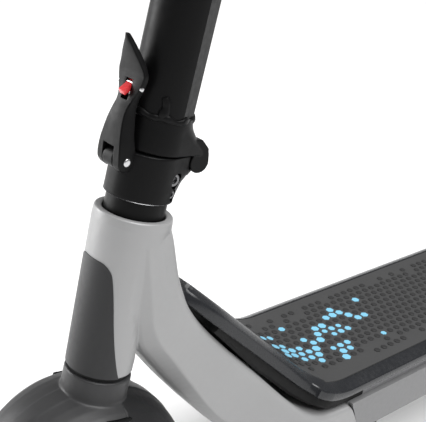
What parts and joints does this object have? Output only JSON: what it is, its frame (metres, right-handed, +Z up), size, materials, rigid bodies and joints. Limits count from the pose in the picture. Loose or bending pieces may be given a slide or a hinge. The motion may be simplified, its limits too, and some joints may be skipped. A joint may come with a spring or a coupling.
{
  "type": "electric kick scooter",
  "caption": "Folding electric kick scooter with a hub-motor front wheel, cast silver neck, black folding stem with a latch lever, wide hex-patterned deck, handlebar controls and kickstand.",
  "frame": {"origin": "on the ground, under the middle of the whole length, in the middle plane", "axes": "+X forward, +Y to the rider's left, +Z up"},
  "size_m": [1.1044, 0.458, 1.1931],
  "materials": {
    "silver_casting": "satin silver-grey powder coat",
    "chassis_metal": "anodised",
    "trim_grey": "satin grey",
    "black_metal": "satin black powder coat",
    "black_plastic": "fine grain",
    "grey_plastic": "satin",
    "badge_dark": "satin print",
    "mat_rubber": "textured",
    "black_rubber": "matt",
    "tyre": "matt tread",
    "bright_steel": "polished",
    "brushed_steel": "brushed",
    "hub_metal": "satin",
    "red_plastic": "gloss",
    "clear_lens": "clear",
    "red_lens": "gloss",
    "dark_glass": "gloss",
    "copper_core": "varnished windings",
    "battery_wrap": "shrink wrap"
  },
  "bodies": {
    "frame": {"frame_casting": "silver_casting", "headset_bearings": "brushed_steel", "head_badge": "badge_dark", "deck_cover": "black_plastic", "deck_mat": "mat_rubber", "tongue_bracket": "black_plastic", "deck_chassis": "chassis_metal", "bottom_plate": "black_plastic", "bottom_screws": "brushed_steel", "side_trims": "trim_grey", "battery_pack": "battery_wrap", "motor_controller": "black_plastic", "rear_casting": "silver_casting", "rear_fender": "black_plastic", "tail_lamp": "red_lens", "brake_caliper": "black_metal", "rear_axle": "brushed_steel", "rear_axle_nuts": "bright_steel", "kickstand_bracket": "black_metal", "charge_port": "black_plastic"},
    "fork": {"fork": "black_metal", "crown_seal": "black_rubber", "steerer_tube": "brushed_steel", "front_fender": "grey_plastic", "headset_collar": "black_metal", "lower_clamp": "black_metal", "clamp_bolts": "bright_steel", "joint_pins": "bright_steel", "front_axle": "brushed_steel", "front_axle_nuts": "bright_steel", "motor_stator": "copper_core"},
    "stem": {"hinge_block": "black_metal", "stem_tube": "black_metal", "latch_striker": "black_metal", "bar_clamp": "black_metal", "handlebar": "black_metal", "grips": "black_rubber", "brake_perch": "black_metal", "throttle_housing": "black_plastic", "bell": "brushed_steel", "display_housing": "black_plastic", "display_lens": "dark_glass", "headlamp_housing": "black_plastic", "headlamp_lens": "clear_lens"},
    "front_wheel": {"front_tyre": "tyre", "hub_motor_shell": "hub_metal", "front_wheel_bearings": "brushed_steel"},
    "rear_wheel": {"rear_tyre": "tyre", "rear_rim": "hub_metal", "rear_wheel_bearings": "brushed_steel", "brake_disc": "brushed_steel"},
    "latch_lever": {"latch_lever": "black_metal", "catch_pin": "bright_steel"},
    "safety_catch": {"safety_catch": "red_plastic"},
    "brake_lever": {"brake_lever": "black_metal"},
    "thumb_throttle": {"thumb_throttle": "black_plastic"},
    "bell_striker": {"bell_striker": "brushed_steel"},
    "power_button": {"power_button": "black_plastic"},
    "kickstand": {"kickstand_leg": "black_metal"},
    "port_cap": {"port_cap": "black_rubber"}
  },
  "joints": [
    {"name": "steering", "type": "hinge", "parent": "frame", "child": "fork", "pos_m": [0.38048, 0, 0.41], "axis": [-0.1934, 0, 0.9811], "range_deg": [-50, 50]},
    {"name": "stem_fold", "type": "hinge", "parent": "fork", "child": "stem", "pos_m": [0.33231, 0, 0.4372], "axis": [0, -1, 0], "range_deg": [0, 94]},
    {"name": "front_wheel_spin", "type": "hinge", "parent": "fork", "child": "front_wheel", "pos_m": [0.44, 0, 0.108], "axis": [0, 1, 0], "continuous": true},
    {"name": "rear_wheel_spin", "type": "hinge", "parent": "frame", "child": "rear_wheel", "pos_m": [-0.44, 0, 0.108], "axis": [0, 1, 0], "continuous": true},
    {"name": "latch_swing", "type": "hinge", "parent": "fork", "child": "latch_lever", "pos_m": [0.40549, 0, 0.44856], "axis": [0, 1, 0], "range_deg": [0, 105]},
    {"name": "catch_press", "type": "hinge", "parent": "latch_lever", "child": "safety_catch", "pos_m": [0.39429, 0, 0.51057], "axis": [0, 1, 0], "range_deg": [0, 10], "stiffness_Nm_per_rad": 0.05, "springref_deg": -5.73},
    {"name": "brake_squeeze", "type": "hinge", "parent": "stem", "child": "brake_lever", "pos_m": [0.2604, 0.1, 1.16299], "axis": [-0.1934, 0, 0.9811], "range_deg": [0, 13], "stiffness_Nm_per_rad": 0.5, "springref_deg": -5.73},
    {"name": "throttle_press", "type": "hinge", "parent": "stem", "child": "thumb_throttle", "pos_m": [0.229, -0.0998, 1.15681], "axis": [0, -1, 0], "range_deg": [0, 25], "stiffness_Nm_per_rad": 0.2, "springref_deg": -11.46},
    {"name": "bell_flick", "type": "hinge", "parent": "stem", "child": "bell_striker", "pos_m": [0.22475, 0.058, 1.17839], "axis": [-0.1934, 0, 0.9811], "range_deg": [0, 30], "stiffness_Nm_per_rad": 0.03, "springref_deg": -11.46},
    {"name": "power_press", "type": "slide", "parent": "stem", "child": "power_button", "axis": [0.1934, 0, -0.9811], "range_m": [0, 0.0005], "stiffness_N_per_m": 600, "springref_m": -0.0005},
    {"name": "kickstand_swing", "type": "hinge", "parent": "frame", "child": "kickstand", "pos_m": [0.05048, 0.046, 0.084], "axis": [0, 1, 0], "range_deg": [0, 82]},
    {"name": "port_cap_swing", "type": "hinge", "parent": "frame", "child": "port_cap", "pos_m": [0.08048, -0.0907, 0.132], "axis": [-1, 0, 0], "range_deg": [0, 100]}
  ]
}
